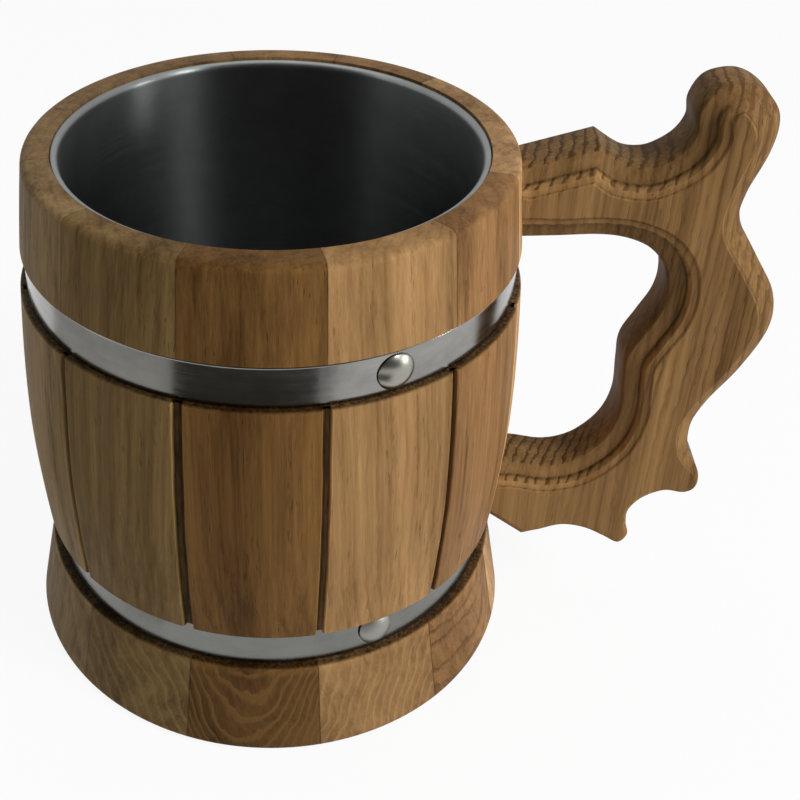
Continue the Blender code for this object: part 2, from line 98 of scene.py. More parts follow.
# Handle outline in mm: out from the belly, height, share of stepped moulding, share of soft rounding
THICKNESS = 0.0200
STEPPED_WIDTH = 0.0070
SOFT_WIDTH = 0.0049
PLAIN_WIDTH = 0.0012
EDGE_DEPTH = 0.0050
CORNER_STRETCH = 1.5
MM = 0.001
ROOT = -6.0
BURIED = -14.4
TOP_ROOT = [(BURIED, 135.2, 0, 0), (ROOT, 137.9, 1, 0)]
ARM_TOP = [(ROOT, 137.9, 1, 0), (10.8, 143.3, 1, 0)]
BACK = [
    (10.8, 143.3, 1, 0), (17.1, 139.5, 1, 0), (22.1, 139.0, 1, 0), (25.8, 140.5, 1, 0),
    (29.1, 143.3, 1, 0), (30.8, 147.2, 1, 0), (30.4, 152.0, 1, 0), (33.1, 157.0, 0.7, 0.3),
    (39.5, 158.45, 0, 1), (45.1, 155.9, 0, 1.3), (49.0, 150.55, 0, 1.4), (48.8, 142.5, 0, 1.3),
    (45.5, 132.2, 0, 1), (45.9, 125.4, 0, 1), (52.0, 116.1, 0, 1), (58.2, 106.2, 0, 1),
    (59.55, 96.4, 0, 1), (55.5, 84.4, 0, 1), (49.9, 74.0, 0, 1), (47.1, 66.1, 0, 0.9),
    (47.6, 58.4, 0, 0.5), (51.3, 51.8, 0, 0.1), (51.5, 47.0, 0, 0), (48.7, 44.9, 0, 0),
    (43.4, 45.3, 0, 0), (38.3, 42.4, 0, 0), (35.4, 37.7, 0, 0), (35.6, 32.7, 0, 0),
    (36.7, 28.5, 0, 0), (34.5, 25.3, 0, 0), (30.0, 27.6, 0, 0), (24.4, 30.3, 0, 0),
    (18.1, 31.1, 0, 0), (12.2, 28.9, 0, 0), (7.5, 26.2, 0, 0.3),
]
ARM_END = [(7.5, 26.2, 0, 0.3), (ROOT, 35.7, 0, 0.3)]
END_ROOT = [(ROOT, 35.7, 0, 0.3), (BURIED, 40.0, 0, 0)]
OPENING = [
    (BURIED, 51.1, 0, 0), (ROOT, 51.1, 1, 0), (2.9, 51.1, 1, 0), (11.3, 50.2, 1, 0),
    (18.1, 52.3, 1, 0), (23.2, 57.0, 1, 0), (26.4, 62.8, 1, 0), (27.6, 70.2, 1, 0),
    (26.8, 79.4, 1, 0), (26.5, 86.7, 1, 0), (29.4, 93.8, 1, 0), (32.1, 100.3, 1, 0),
    (32.6, 106.5, 1, 0), (31.0, 112.6, 1, 0), (27.0, 117.3, 1, 0), (21.4, 119.9, 1, 0),
    (14.5, 120.8, 1, 0), (4.3, 120.1, 1, 0), (ROOT, 119.5, 1, 0), (BURIED, 119.5, 0, 0),
]
# Edge profiles from the outline inwards: share of the width, share of the depth, wear; wear above 0 is dirt
# and painted shade on the outline's walls and in the creases, and below 0 rubbing and painted highlight on
# the bead and the bevel
STEPPED_EDGE = [
    (0.0, 1.0, 0.42), (0.03, 0.87, 0.4), (0.10, 0.76, 0.3), (0.35, 0.67, 0.22), (0.54, 0.60, 0.3),
    (0.585, 0.58, 0.65), (0.605, 0.47, 0.55), (0.63, 0.34, -0.1), (0.72, 0.18, -0.3), (0.88, 0.10, 0.0),
    (0.92, 0.08, 0.4), (0.95, 0.03, 0.0), (1.0, 0.0, 0.0),
]
SOFT_EDGE = [
    (0.0, 1.0, -0.1), (0.03, 0.90, -0.2), (0.09, 0.79, -0.3), (0.18, 0.67, -0.3), (0.30, 0.54, -0.3),
    (0.44, 0.42, -0.3), (0.60, 0.31, -0.3), (0.74, 0.22, -0.3), (0.86, 0.14, -0.1), (0.90, 0.12, 0.35),
    (0.925, 0.06, 0.1), (0.945, 0.03, -0.4), (1.0, 0.0, 0.0),
]
PLAIN_EDGE = [
    (0.0, 1.0, 0.0), (0.03, 0.82, 0.0), (0.08, 0.66, 0.0), (0.15, 0.54, 0.0), (0.25, 0.42, 0.0),
    (0.33, 0.33, 0.0), (0.42, 0.25, 0.0), (0.54, 0.16, 0.0), (0.66, 0.08, 0.0), (0.75, 0.06, 0.0),
    (0.84, 0.04, 0.0), (0.92, 0.02, 0.0), (1.0, 0.0, 0.0),
]

# Fineness of curves
FOOT_EDGE_STEPS = 7
FOOT_STEPS = 12
BELLY_STEPS = 28
BAND_STEPS = 6
RIM_STEPS = 8
CUP_STEPS = 192
HOOP_STEPS = 240
RIVET_STEPS = 64
SPAN_STEPS = 8
COPE_STEPS = 360
COPE_RINGS = 48
CARD_STEPS = 12


# Mesh helpers

def facing_out(name, vertices, faces):
    mesh = bpy.data.meshes.new(name)
    mesh.from_pydata([tuple(vertex) for vertex in vertices], [], faces)
    shape = bmesh.new()
    shape.from_mesh(mesh)
    bmesh.ops.recalc_face_normals(shape, faces=shape.faces)
    shape.to_mesh(mesh)
    shape.free()
    return mesh


def piece(name, vertices, faces, material, node, sharp=40, wear_and_painted_light=None):
    """A finished mesh for one node of the frame; wear above 0 is dirt and painted shade in hollows, and
    below 0 a rubbed edge with painted highlight.
    """
    mesh = facing_out(name, vertices, faces)
    if wear_and_painted_light:
        mesh.attributes.new("wear_and_painted_light", "FLOAT", "POINT").data.foreach_set("value", wear_and_painted_light)
    mesh.shade_smooth()
    mesh.set_sharp_from_angle(angle=math.radians(sharp))
    mesh.materials.append(material)
    item = bpy.data.objects.new(name, mesh)
    bpy.context.scene.collection.objects.link(item)
    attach(item, "root")
    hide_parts(node)
    return item


def arc(centre, radius, start, end, steps):
    points = []
    for step in range(steps + 1):
        angle = math.radians(start + (end - start) * step / steps)
        points.append((centre[0] + radius * math.cos(angle), centre[1] + radius * math.sin(angle)))
    return points


def turned(profile, steps, place=None):
    """Vertices and faces of a (radius, height) profile turned about Z, with one vertex on the axis."""
    vertices = []
    rings = []
    for radius, height in profile:
        first = len(vertices)
        if radius == 0:
            rings.append([first] * steps)
            vertices.append(Vector((0, 0, height)))
            continue
        rings.append(list(range(first, first + steps)))
        for step in range(steps):
            angle = 2 * math.pi * step / steps
            vertices.append(Vector((radius * math.cos(angle), radius * math.sin(angle), height)))
    faces = []
    for low, high in zip(rings, rings[1:]):
        for step in range(steps):
            after = (step + 1) % steps
            faces.append(tuple(dict.fromkeys((low[step], low[after], high[after], high[step]))))
    if place:
        vertices = [place @ vertex for vertex in vertices]
    return vertices, faces


def barrel_radius(height):
    share = (height - BELLY_HEIGHT) / (HEIGHT - BELLY_HEIGHT)
    return BELLY_RADIUS - (BELLY_RADIUS - RIM_RADIUS) * abs(share) ** SWELL_POWER


# Staves

def stave_profile():
    """Closed outline as (radius, height, slot depth at the seams, wear); wear above 0 darkens the hoop
    grooves, their ledges, the lip seat and the bore's top with painted shade and dirt.
    """
    rows = []
    for radius, height in arc((FOOT_RADIUS - FOOT_EDGE, FOOT_EDGE), FOOT_EDGE, -90, 0, FOOT_EDGE_STEPS):
        rows.append((radius, height, 0.0, 0.0))
    for step in range(1, FOOT_STEPS + 1):
        share = step / FOOT_STEPS
        radius = FOOT_RADIUS + (FOOT_TOP_RADIUS - FOOT_RADIUS) * share
        rows.append((radius, FOOT_EDGE + (FOOT_HEIGHT - ARRIS - FOOT_EDGE) * share, 0.0, 0.0))
    rows.append((FOOT_TOP_RADIUS - ARRIS, FOOT_HEIGHT, 0.0, 0.4))
    rows.append((FOOT_TOP_RADIUS - 3 * ARRIS, FOOT_HEIGHT, 0.0, 0.9))
    rows.append((LOWER_GROOVE_RADIUS, FOOT_HEIGHT, 0.0, 1.0))
    rows.append((LOWER_GROOVE_RADIUS, LOWER_GROOVE_TOP, 0.0, 1.0))
    rows.append((barrel_radius(LOWER_GROOVE_TOP) - ARRIS, LOWER_GROOVE_TOP, SEAM_DEPTH - ARRIS, 0.3))
    belly_low = LOWER_GROOVE_TOP + ARRIS
    belly_high = UPPER_GROOVE_BOTTOM - ARRIS
    for step in range(BELLY_STEPS + 1):
        height = belly_low + (belly_high - belly_low) * step / BELLY_STEPS
        rows.append((barrel_radius(height), height, SEAM_DEPTH, 0.0))
    belly_top = barrel_radius(UPPER_GROOVE_BOTTOM)
    rows.append((belly_top - ARRIS, UPPER_GROOVE_BOTTOM, SEAM_DEPTH - ARRIS, 0.5))
    rows.append((belly_top - 3 * ARRIS, UPPER_GROOVE_BOTTOM, 0.0, 0.9))
    rows.append((UPPER_GROOVE_RADIUS, UPPER_GROOVE_BOTTOM, 0.0, 1.0))
    rows.append((UPPER_GROOVE_RADIUS, UPPER_GROOVE_TOP, 0.0, 1.0))
    rows.append((barrel_radius(UPPER_GROOVE_TOP) - ARRIS, UPPER_GROOVE_TOP, 0.0, 0.3))
    band_low = UPPER_GROOVE_TOP + ARRIS
    shoulder = HEIGHT - RIM_ROUND
    for step in range(BAND_STEPS + 1):
        height = band_low + (shoulder - band_low) * step / BAND_STEPS
        rows.append((barrel_radius(height), height, 0.0, 0.0))
    rim = arc((barrel_radius(shoulder) - RIM_ROUND, shoulder), RIM_ROUND, 0, 90, RIM_STEPS)
    rows += [(radius, height, 0.0, 0.0) for radius, height in rim[1:]]
    rows.append((LIP_SEAT_RADIUS + 3 * ARRIS, HEIGHT, 0.0, 0.1))
    rows.append((LIP_SEAT_RADIUS, HEIGHT, 0.0, 0.1))
    rows.append((LIP_SEAT_RADIUS, CUP_TOP - CUP_WALL - HOOP_GAP, 0.0, 0.4))
    rows.append((BORE_RADIUS, CUP_TOP - CUP_WALL - HOOP_GAP, 0.0, 1.0))
    rows.append((BORE_RADIUS, CUP_BASE, 0.0, 0.0))
    rows.append((DISC_SEAT_RADIUS, CUP_BASE, 0.0, 0.0))
    rows.append((DISC_SEAT_RADIUS, 0.0, 0.0, 0.6))
    return rows


def half_row(radius, height, depth, width, seed):
    """(angle from the stave's middle, radius, wear) from the seam to just short of the middle; in an open
    slot the bed is darkened with painted shade and dirt, and the arrises lightened with painted highlight
    and rubbing.
    """
    if depth:
        half = width / 2 + SLOT_WAVER * noise.noise(Vector((seed, height * SLOT_WAVES_PER_METRE, 0.0)))
        bed = radius - depth
        edge = radius - min(depth, ARRIS)
        spots = (
            (HAIR, bed, 0.72), (half * 0.94, bed, 0.66),
            (half, edge, -0.5), (half + ARRIS, radius, -0.35),
        )
    else:
        spots = [(from_seam, radius, wear_and_painted_light) for from_seam, wear_and_painted_light in CLOSED_SEAM]
    columns = [(HALF_ANGLE - math.asin(from_seam / level), level, wear_and_painted_light) for from_seam, level, wear_and_painted_light in spots]
    edge_angle = columns[-1][0]
    columns += [(edge_angle * share, radius, 0.0) for share in COLUMN_SHARES]
    return columns


def stave(index, material):
    name = "stave_%02d" % (index + 1)
    middle = 2 * HALF_ANGLE * index
    after = SEAM_WIDTHS.get(index + 1, SEAM_WIDTH)
    before = SEAM_WIDTHS.get(index, SEAM_WIDTH)
    vertices = []
    wear_and_painted_light = []
    profile = stave_profile()
    for radius, height, depth, row_wear_and_painted_light in profile:
        left = half_row(radius, height, depth, after, 7.3 * index)
        right = half_row(radius, height, depth, before, 7.3 * index + 3.1)
        mirrored = [(-angle, level, worn_and_painted_light) for angle, level, worn_and_painted_light in reversed(right)]
        for angle, level, worn_and_painted_light in left + [(0.0, radius, 0.0)] + mirrored:
            spot = middle + angle
            vertices.append(Vector((level * math.cos(spot), level * math.sin(spot), height)))
            wear_and_painted_light.append(max(row_wear_and_painted_light, worn_and_painted_light) if row_wear_and_painted_light else worn_and_painted_light)
    faces = []
    rows = len(profile)
    count = len(vertices) // rows
    for row in range(rows):
        low = row * count
        high = (row + 1) % rows * count
        for column in range(count - 1):
            faces.append((low + column + 1, low + column, high + column, high + column + 1))
    faces.append(tuple(row * count for row in range(rows)))
    faces.append(tuple(row * count + count - 1 for row in reversed(range(rows))))
    piece("oak_" + name, vertices, faces, material, name, 32, wear_and_painted_light)


# Steel pieces

def cup(material):
    lip = (CUP_RADIUS + CUP_LIP_ROUND, CUP_TOP - CUP_LIP_ROUND)
    corner = (CUP_RADIUS - CUP_CORNER, CUP_BASE + CUP_WALL + CUP_CORNER)
    profile = [(0, CUP_BASE), (CUP_RADIUS - CUP_CORNER, CUP_BASE)]
    profile += arc(corner, CUP_CORNER + CUP_WALL, -90, 0, 10)[1:]
    profile += arc(lip, CUP_LIP_ROUND - CUP_WALL, 180, 90, 6)
    profile += [(CUP_LIP_RADIUS, CUP_TOP - CUP_WALL)]
    profile += arc((CUP_LIP_RADIUS - CUP_LIP_EDGE, CUP_TOP - CUP_LIP_EDGE), CUP_LIP_EDGE, 0, 90, 4)
    profile += arc(lip, CUP_LIP_ROUND, 90, 180, 12)
    wall_top = lip[1]
    wall_foot = corner[1]
    profile += [(CUP_RADIUS, wall_top + (wall_foot - wall_top) * step / 12) for step in range(1, 12)]
    profile += arc(corner, CUP_CORNER, 0, -90, 12)
    profile += [(0, CUP_BASE + CUP_WALL)]
    vertices, faces = turned(profile, CUP_STEPS)
    piece("cup_shell", vertices, faces, material, "steel_cup")


def hoop(name, bottom, top, groove, flare, material, node):
    """Steel strip with rounded edges, wider at its foot by flare, its ends meeting under the rivet."""
    low = bottom + HOOP_GAP
    high = top - HOOP_GAP
    inner = groove + HOOP_GAP
    outer = inner + HOOP_THICKNESS
    soft = HOOP_EDGE
    section = [
        (inner, low), (outer + flare - soft, low),
        (outer + flare, low + soft), (outer + 0.94 * flare, low + 8 * soft),
        (outer + 0.06 * flare, high - 8 * soft), (outer, high - soft),
        (outer - soft, high), (inner, high),
    ]
    count = len(section)
    vertices = []
    for step in range(HOOP_STEPS + 1):
        angle = RIVET_ANGLE + HOOP_SLIT_ANGLE + (2 * math.pi - 2 * HOOP_SLIT_ANGLE) * step / HOOP_STEPS
        for radius, height in section:
            vertices.append(Vector((radius * math.cos(angle), radius * math.sin(angle), height)))
    faces = [tuple(reversed(range(count)))]
    for step in range(HOOP_STEPS):
        base = step * count
        for corner in range(count):
            after = (corner + 1) % count
            faces.append((base + corner, base + after, base + count + after, base + count + corner))
    faces.append(tuple(range(HOOP_STEPS * count, (HOOP_STEPS + 1) * count)))
    piece(name, vertices, faces, material, node, 50)


def rivet(name, height, groove, flare, lean, material, node):
    """Domed head with a thin rolled rim, on its shank, leaning up with the hoop's slope."""
    dome = (RIVET_RADIUS ** 2 + RIVET_RISE ** 2) / (2 * RIVET_RISE)
    reach = math.degrees(math.asin(RIVET_RADIUS / dome))
    centre = (0.0, RIVET_RIM + RIVET_RISE - dome)
    profile = [(0, -RIVET_SHANK_LENGTH), (RIVET_SHANK_RADIUS, RIVET_POINT - RIVET_SHANK_LENGTH)]
    profile += [(RIVET_SHANK_RADIUS, 0.0), (RIVET_RADIUS - RIVET_EDGE, 0.0), (RIVET_RADIUS, RIVET_EDGE)]
    profile += arc(centre, dome, 90 - reach, 90, 14)[:-1]
    profile += [(0, RIVET_RIM + RIVET_RISE)]
    turn = Matrix.Rotation(RIVET_ANGLE, 4, "Z") @ Matrix.Rotation(math.pi / 2 - lean, 4, "Y")
    seat = groove + HOOP_THICKNESS + HOOP_GAP + flare
    spot = Vector((seat * math.cos(RIVET_ANGLE), seat * math.sin(RIVET_ANGLE), height))
    vertices, faces = turned(profile, RIVET_STEPS, Matrix.Translation(spot) @ turn)
    dome_start = 1 + 4 * RIVET_STEPS
    # The head's rim and the shank get wear 1, which the steel darkens to a painted shadow outline round the
    # head.
    wear_and_painted_light = [1.0 if index < dome_start else 0.0 for index in range(len(vertices))]
    piece(name, vertices, faces, material, node, 50, wear_and_painted_light)


# Handle

def smooth_run(knots):
    """Points of a curve through the knots, without its last point; two knots give a straight line."""
    points = []
    for index in range(len(knots) - 1):
        first = knots[index]
        last = knots[index + 1]
        before = knots[index - 1] if index > 0 else first
        after = knots[index + 2] if index + 2 < len(knots) else last
        for step in range(SPAN_STEPS):
            share = step / SPAN_STEPS
            point = first.lerp(last, share)
            if len(knots) > 2:
                start = (last - before) / 2
                end = (after - first) / 2
                curve = (2 * share ** 3 - 3 * share ** 2 + 1) * first
                curve += (share ** 3 - 2 * share ** 2 + share) * start
                curve += (3 * share ** 2 - 2 * share ** 3) * last
                curve += (share ** 3 - share ** 2) * end
                point.x = curve.x
                point.z = curve.z
            points.append(point)
    return points


def smooth_loop(knots, lengths):
    """The closed loop through all knots, with a corner wherever one run of knots ends."""
    points = []
    start = 0
    for length in lengths:
        run = [knots[(start + step) % len(knots)] for step in range(length)]
        points += smooth_run(run)
        start += length - 1
    return points


def inwards(points):
    """For each knot of the loop, the step that moves its edges inwards by one, less at a sharp corner."""
    offsets = []
    count = len(points)
    for index in range(count):
        here = Vector(points[index][:2])
        ahead = (Vector(points[(index + 1) % count][:2]) - here).normalized()
        behind = (here - Vector(points[index - 1][:2])).normalized()
        along = (ahead + behind).normalized()
        offsets.append(Vector((along.y, -along.x)) / max(along.dot(ahead), 1 / CORNER_STRETCH))
    return offsets


def coped(item):
    """Cuts the arms' ends to the barrel's swell and drops the part inside the barrel."""
    points = [(0, 0.0)]
    for step in range(COPE_RINGS + 1):
        height = HEIGHT * step / COPE_RINGS
        points.append((barrel_radius(height) + HAIR, height))
    vertices, faces = turned(points + [(0, HEIGHT)], COPE_STEPS)
    cutter = bpy.data.objects.new("barrel_shape", facing_out("barrel_shape", vertices, faces))
    bpy.context.scene.collection.objects.link(cutter)
    cut = item.modifiers.new("cope", "BOOLEAN")
    cut.operation = "DIFFERENCE"
    cut.solver = "EXACT"
    cut.object = cutter
    shaped = item.evaluated_get(bpy.context.evaluated_depsgraph_get())
    item.data = bpy.data.meshes.new_from_object(shaped)
    item.modifiers.clear()
    bpy.data.objects.remove(cutter, do_unlink=True)


def handle(material):
    lower_end = [END_ROOT[-1], OPENING[0]]
    upper_end = [OPENING[-1], TOP_ROOT[0]]
    runs = (TOP_ROOT, ARM_TOP, BACK, ARM_END, END_ROOT, lower_end, OPENING, upper_end)
    lengths = [len(run) for run in runs]
    knots = []
    for run in runs:
        for out, up, stepped, soft in run[:-1]:
            knots.append((BELLY_RADIUS + out * MM, up * MM, stepped, soft))
    offsets = inwards(knots)
    kinds = (
        (STEPPED_EDGE, STEPPED_WIDTH, EDGE_DEPTH),
        (SOFT_EDGE, SOFT_WIDTH, EDGE_DEPTH),
        (PLAIN_EDGE, PLAIN_WIDTH, PLAIN_WIDTH),
    )
    rings = list(range(len(kinds[0][0])))
    loops = []
    for side, order in ((-1, reversed(rings)), (1, rings)):
        for ring in order:
            loop = []
            for (out, up, stepped, soft), inward in zip(knots, offsets):
                shares = (stepped, soft, 1 - stepped - soft)
                inset = sum(kind[0][ring][0] * kind[1] * share for kind, share in zip(kinds, shares))
                drop = sum(kind[0][ring][1] * kind[2] * share for kind, share in zip(kinds, shares))
                # Each knot's wear: dirt and painted shade above 0, rubbing and painted highlight below 0.
                worn_and_painted_light = sum(kind[0][ring][2] * share for kind, share in zip(kinds, shares))
                flat = Vector((out, up)) + inward * inset
                loop.append(Vector((flat.x, side * (THICKNESS / 2 - drop), flat.y, worn_and_painted_light)))
            loops.append(smooth_loop(loop, lengths))
    vertices = [vertex.to_3d() for loop in loops for vertex in loop]
    wear_and_painted_light = [vertex.w for loop in loops for vertex in loop]
    count = len(loops[0])
    faces = [tuple(range(count))]
    for row in range(len(loops) - 1):
        low = row * count
        high = low + count
        for index in range(count):
            after = (index + 1) % count
            faces.append((low + after, low + index, high + index, high + after))
    faces.append(tuple(reversed(range(len(vertices) - count, len(vertices)))))
    item = piece("carved_handle", vertices, faces, material, "handle", 30, wear_and_painted_light)
    for face in (item.data.polygons[0], item.data.polygons[-1]):
        face.use_smooth = False
    coped(item)


# Material nodes

class Graph:
    """A material and short calls that add its nodes."""

    def __init__(self, name):
        self.material = bpy.data.materials.new(name)
        self.material.use_nodes = True
        self.tree = self.material.node_tree
        self.shader = self.tree.nodes["Principled BSDF"]

    def put(self, socket, value):
        if isinstance(value, bpy.types.NodeSocket):
            self.tree.links.new(value, socket)
        else:
            socket.default_value = value

    def node(self, kind, inputs, **settings):
        item = self.tree.nodes.new("ShaderNode" + kind)
        for key, value in settings.items():
            setattr(item, key, value)
        for key, value in inputs.items():
            self.put(item.inputs[key], value)
        return item

    def set(self, **values):
        for key, value in values.items():
            self.put(self.shader.inputs[key.replace("_", " ")], value)

    def math(self, operation, first, second=0.0):
        return self.node("Math", {0: first, 1: second}, operation=operation).outputs[0]

    def sum(self, value, weight, rest):
        return self.node("Math", {0: value, 1: weight, 2: rest}, operation="MULTIPLY_ADD").outputs[0]

    def vector(self, operation, first, second):
        return self.node("VectorMath", {0: first, 1: second}, operation=operation).outputs[0]

    def scaled(self, vector, amount):
        return self.node("VectorMath", {0: vector, "Scale": amount}, operation="SCALE").outputs[0]

    def noise(self, vector, detail=2.0, roughness=0.5):
        inputs = {"Vector": vector, "Scale": 1.0, "Detail": detail, "Roughness": roughness}
        return self.node("TexNoise", inputs).outputs[0]

    def wander(self, vector, scale, detail):
        inputs = {"Vector": self.vector("MULTIPLY", vector, scale), "Scale": 1.0, "Detail": detail}
        return self.vector("SUBTRACT", self.node("TexNoise", inputs).outputs[1], (0.5, 0.5, 0.5))

    def remap(self, value, low, high, to_low, to_high, smooth=True):
        inputs = {"Value": value, "From Min": low, "From Max": high, "To Min": to_low, "To Max": to_high}
        kind = "SMOOTHSTEP" if smooth else "LINEAR"
        return self.node("MapRange", inputs, interpolation_type=kind).outputs[0]

    def mix(self, share, first, second):
        item = self.node("Mix", {}, data_type="RGBA")
        self.put(item.inputs[0], share)
        self.put(item.inputs[6], first)
        self.put(item.inputs[7], second)
        return item.outputs[2]

    def bump(self, height, strength, distance):
        inputs = {"Height": height, "Strength": strength, "Distance": distance}
        self.put(self.shader.inputs["Normal"], self.node("Bump", inputs).outputs[0])


def rgb(red, green, blue):
    return (red, green, blue, 1.0)


# How one piece of oak may differ from the rest
OAK = {
    "tip": 0.0,  # angle that lays the grain flat
    "lean": (0.0, 0.0),  # slope of the grain, outwards and sideways
    "side": 0.0,  # change of tone across a stave
    "out": 0.0,  # change of tone away from the barrel
    "rise": 0.0,  # change of tone upwards
    "streaks": 1.0,  # strength of streaks, threads and fibre
    "zones": 1.2,  # strength of the broad zones
    "rings": 0.16,  # depth of the growth rings on faces
    "end_rings": 0.12,  # the same on cut ends
    "foot_rings": 0.1,  # the same on the foot, where below 0 makes them pale
    "end_tone": 0.78,  # tone of cut ends
    "foot_tone": 0.92,  # tone of the foot
    "warp": 0.004,  # wander of the rings
    "jag": 0.0012,  # their small jags
    "curl": 0.0,  # their wander on the foot
    "flame": None,  # arched rings on the foot: slope, bow, centre
}
ZONE_SCALE = (75, 75, 2.5)
# Scale, detail and strength of streaks, threads and fibre
GRAIN_LAYERS = (((330, 330, 7), 3.0, 1.1), ((1250, 1250, 24), 2.0, 0.7), ((4200, 4200, 140), 2.0, 0.45))
# Tone changes outwards and upwards are given over this length, and are nil at this distance
TONE_LENGTH = 0.06
TONE_MIDDLE = 0.09


def oak(name, turn, seed, pith, spacing, base, **changes):
    """Oak: broad zones, streaks, threads, fibre, growth rings, pores, dirt and painted shade in corners,
    and rubbed edges with painted highlight.
    """
    look = {**OAK, **changes}
    layers = [(ZONE_SCALE, 1.0, look["zones"])]
    for scale, detail, weight in GRAIN_LAYERS:
        layers.append((scale, detail, weight * look["streaks"]))
    net = Graph(name)
    coordinates = net.node("TexCoord", {})
    place = coordinates.outputs["Object"]
    inputs = {"Vector": place, "Rotation": (0, look["tip"], -turn)}
    inputs["Location"] = (-pith[0], -pith[1], seed)
    board = net.node("Mapping", inputs).outputs[0]
    parts = net.node("SeparateXYZ", {0: board}).outputs
    above_table = net.node("SeparateXYZ", {0: place}).outputs[2]
    foot = net.remap(above_table, FOOT_HEIGHT - 0.003, FOOT_HEIGHT, 1.0, 0.0)
    lean = look["lean"]
    tilt = net.scaled(net.node("CombineXYZ", {0: lean[0], 1: lean[1]}).outputs[0], parts[2])
    grown = net.vector("ADD", board, tilt)
    if look["curl"]:
        curls = net.wander(board, (36, 36, 60), 1.0)
        grown = net.vector("ADD", grown, net.scaled(curls, net.math("MULTIPLY", foot, look["curl"])))
    if look["flame"]:
        slope, bow, centre = look["flame"]
        aside = net.math("ADD", parts[1], pith[1] - centre)
        drop = net.math("SUBTRACT", FOOT_HEIGHT, above_table)
        arch = net.sum(net.math("MULTIPLY", aside, aside), bow, net.math("MULTIPLY", drop, slope))
        below_hoop = net.math("LESS_THAN", above_table, FOOT_HEIGHT + HOOP_GAP)
        moved = net.node("CombineXYZ", {0: arch, 1: pith[1] - centre}).outputs[0]
        grown = net.vector("ADD", grown, net.scaled(moved, below_hoop))
    swirl = net.scaled(net.wander(board, (28, 28, 8), 3.0), 2 * look["warp"])
    jags = net.scaled(net.wander(board, (520, 520, 190), 2.0), look["jag"])
    across = net.vector("ADD", net.vector("ADD", grown, swirl), jags)
    across = net.vector("MULTIPLY", across, (1, 1, 0))
    length = net.node("VectorMath", {0: across}, operation="LENGTH").outputs[1]
    ring = net.math("FRACT", net.math("DIVIDE", length, spacing))
    band = net.math("MAXIMUM", net.remap(ring, 0.02, 0.40, 1.0, 0.0), net.remap(ring, 0.90, 1.0, 0.0, 1.0))

    upright = net.math("ABSOLUTE", net.node("SeparateXYZ", {0: coordinates.outputs["Normal"]}).outputs[2])
    end_grain = net.remap(upright, 0.35, 0.9, 0.0, 1.0)
    patchy = net.remap(net.noise(net.vector("MULTIPLY", grown, (70, 70, 12)), 1.0), 0.35, 0.65, 0.2, 1.0)
    ring_depth = net.math("MULTIPLY", patchy, look["rings"])
    ring_depth = net.math("MAXIMUM", ring_depth, net.math("MULTIPLY", end_grain, look["end_rings"]))
    ring_depth = net.sum(foot, look["foot_rings"], ring_depth)
    depth = net.math("MULTIPLY", band, ring_depth)

    across_share = look["side"] / HALF_STAVE
    out_share = look["out"] / TONE_LENGTH
    rise_share = look["rise"] / TONE_LENGTH
    middle = 0.5 * sum(weight for scale, detail, weight in layers) - 0.5
    tone = net.sum(parts[1], across_share, across_share * pith[1] - middle)
    tone = net.sum(parts[0], out_share, net.math("ADD", tone, out_share * (pith[0] - TONE_MIDDLE)))
    tone = net.sum(above_table, rise_share, net.math("SUBTRACT", tone, rise_share * TONE_MIDDLE))
    for scale, detail, weight in layers:
        tone = net.sum(net.noise(net.vector("MULTIPLY", grown, scale), detail, 0.55), weight, tone)
    tone = net.math("SUBTRACT", tone, depth)
    dark = rgb(*[part * share for part, share in zip(base, (0.46, 0.42, 0.36))])
    light = rgb(*[part * share for part, share in zip(base, (1.54, 1.58, 1.64))])
    colour = net.mix(tone, dark, light)

    dashes = net.noise(net.vector("MULTIPLY", board, (2400, 2400, 190)), 1.0)
    crowd = net.remap(net.noise(net.vector("MULTIPLY", grown, (260, 260, 16)), 1.0), 0.42, 0.68, 0.05, 1.0)
    crowd = net.math("MULTIPLY", crowd, net.remap(foot, 0.0, 1.0, 1.0, 0.25, False))
    pores = net.math("MULTIPLY", net.remap(dashes, 0.62, 0.72, 0.0, 1.0), crowd)
    # Where the mesh's attribute is above 0 the colour is darkened with dirt and painted shade, and where
    # below 0 it is lightened with rubbing and painted highlight.
    wear_and_painted_light = net.node("Attribute", {}, attribute_name="wear_and_painted_light").outputs["Fac"]
    patchy_dirt_and_shade = net.noise(net.vector("MULTIPLY", board, (1100, 1100, 160)), 3.0, 0.6)
    dirt_and_painted_shade = net.remap(patchy_dirt_and_shade, 0.35, 0.65, 0.62, 1.2, False)
    dirt_and_painted_shade = net.math("MULTIPLY", net.remap(wear_and_painted_light, 0.0, 1.0, 0.0, 1.0, False), dirt_and_painted_shade)
    gain = net.remap(dirt_and_painted_shade, 0.0, 1.0, 1.0, 0.16, False)
    gain = net.math("MULTIPLY", gain, net.remap(wear_and_painted_light, -1.0, 0.0, 1.6, 1.0, False))
    gain = net.math("MULTIPLY", gain, net.remap(pores, 0.0, 1.0, 1.0, 0.5, False))
    for place_share, place_tone in ((end_grain, look["end_tone"]), (foot, look["foot_tone"])):
        gain = net.math("MULTIPLY", gain, net.remap(place_share, 0.0, 1.0, 1.0, place_tone, False))
    net.set(Base_Color=net.scaled(colour, gain))
    fibre = net.noise(net.vector("MULTIPLY", board, (3600, 3600, 90)), 2.0, 0.6)
    net.set(Roughness=net.remap(fibre, 0.2, 0.8, 0.48, 0.66, False), Specular_IOR_Level=0.07)
    relief = net.math("SUBTRACT", net.math("MULTIPLY", fibre, 0.6), pores)
    net.bump(net.math("SUBTRACT", relief, depth), 0.35, 0.00022)
    return net.material


